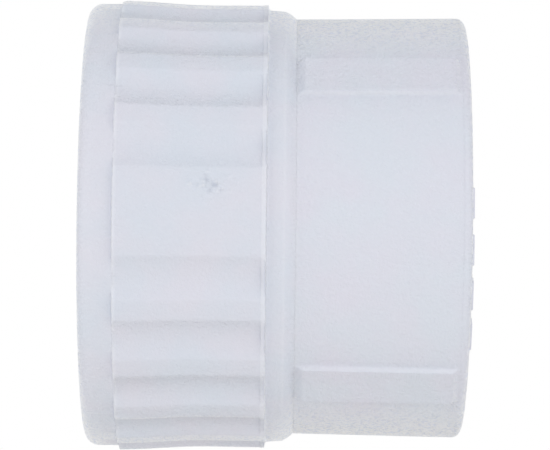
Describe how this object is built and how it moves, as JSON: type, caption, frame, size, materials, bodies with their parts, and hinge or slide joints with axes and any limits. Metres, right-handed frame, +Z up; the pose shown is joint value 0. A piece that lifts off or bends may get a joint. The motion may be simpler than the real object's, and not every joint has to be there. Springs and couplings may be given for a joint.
{
  "type": "union fitting",
  "caption": "Pipe union fitting with a scalloped swivel nut on a ribbed outlet hub, female parallel pipe thread at both ends, O-ring face seal.",
  "frame": {"origin": "on the flow axis, halfway between the nut's mouth and the hub's outlet", "axes": "+X along the flow axis towards the hub's outlet, -X out of the nut's mouth, +Z up"},
  "size_m": [0.0374, 0.0449, 0.0448],
  "materials": {
    "nut_plastic": "satin moulded white plastic",
    "hub_plastic": "fine-textured moulded white plastic",
    "ring_plastic": "smooth natural acetal",
    "seal_rubber": "satin black rubber"
  },
  "bodies": {
    "hub": {"outlet_hub": "hub_plastic", "o_ring": "seal_rubber"},
    "ring": {"retaining_ring": "ring_plastic"},
    "nut": {"union_nut": "nut_plastic"}
  },
  "joints": [
    {"name": "nut_float", "type": "slide", "parent": "hub", "child": "ring", "axis": [-1, 0, 0], "range_m": [0, 0.0006]},
    {"name": "nut_spin", "type": "hinge", "parent": "ring", "child": "nut", "pos_m": [0, 0, 0], "axis": [1, 0, 0], "continuous": true}
  ]
}
